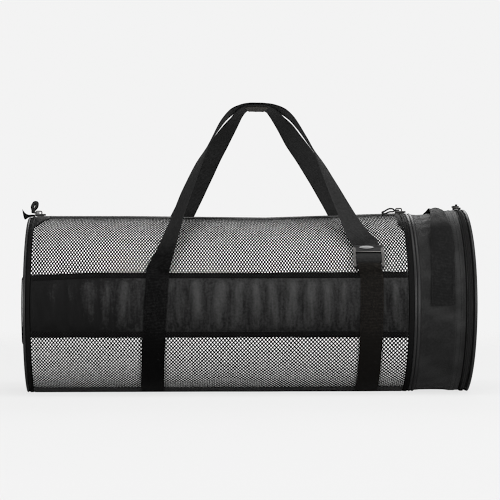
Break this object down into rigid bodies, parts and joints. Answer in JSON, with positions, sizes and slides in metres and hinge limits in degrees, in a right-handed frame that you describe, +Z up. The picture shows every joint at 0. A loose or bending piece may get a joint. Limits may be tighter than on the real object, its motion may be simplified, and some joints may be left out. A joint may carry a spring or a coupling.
{
  "type": "dive bag",
  "caption": "Cylindrical net duffel with gathered black side panels, a zipped end pocket, webbing handles that meet above it and a ladder-lock buckle.",
  "frame": {"origin": "middle of the flat base on the floor", "axes": "+X along the bag towards the end pocket, -Y the front with the buckle, +Z up"},
  "size_m": [0.6476, 0.2706, 0.4172],
  "materials": {
    "net": "black polyester net",
    "lining": "matte white cloth",
    "cloth": "black coated nylon",
    "trim": "black grosgrain binding",
    "webbing": "black nylon webbing",
    "piping": "dark grey piping",
    "plastic": "moulded black acetal",
    "label": "brown woven tape"
  },
  "bodies": {
    "root": {"mesh_body": "net", "lining": "lining", "front_panel": "cloth", "front_panel_upper_strip": "trim", "front_panel_lower_strip": "trim", "rear_panel": "cloth", "rear_panel_upper_strip": "trim", "rear_panel_lower_strip": "trim", "base_panel": "cloth", "left_binding": "trim", "left_piping": "piping", "left_end_cap": "cloth", "left_end_handle": "webbing", "pocket_seam_binding": "trim", "pocket_piping_inner": "piping", "pocket_piping_outer": "piping", "pocket_wall": "cloth", "grab_handle": "webbing", "end_zip_tape_inner": "trim", "end_zip_coil": "plastic", "end_zip_tape_outer": "trim", "end_cap_piping": "piping", "right_end_cap": "cloth", "front_handle_webbing": "webbing", "rear_handle_webbing": "webbing", "front_anchor_webbing": "webbing", "front_ladder_lock": "plastic", "handle_label": "label", "main_zip_tape_front": "trim", "main_zip_tape_rear": "trim", "main_zip_coil": "plastic", "zip_end_patch_left_front": "trim", "zip_end_patch_left_rear": "trim", "zip_end_patch_right_front": "trim", "zip_end_patch_right_rear": "trim", "main_zip_slider_left": "plastic", "main_zip_slider_right": "plastic", "main_zip_pull_left": "plastic", "main_zip_pull_right": "plastic", "end_zip_slider": "plastic", "end_zip_pull": "plastic", "zip_tail_tab": "trim"}
  },
  "joints": []
}
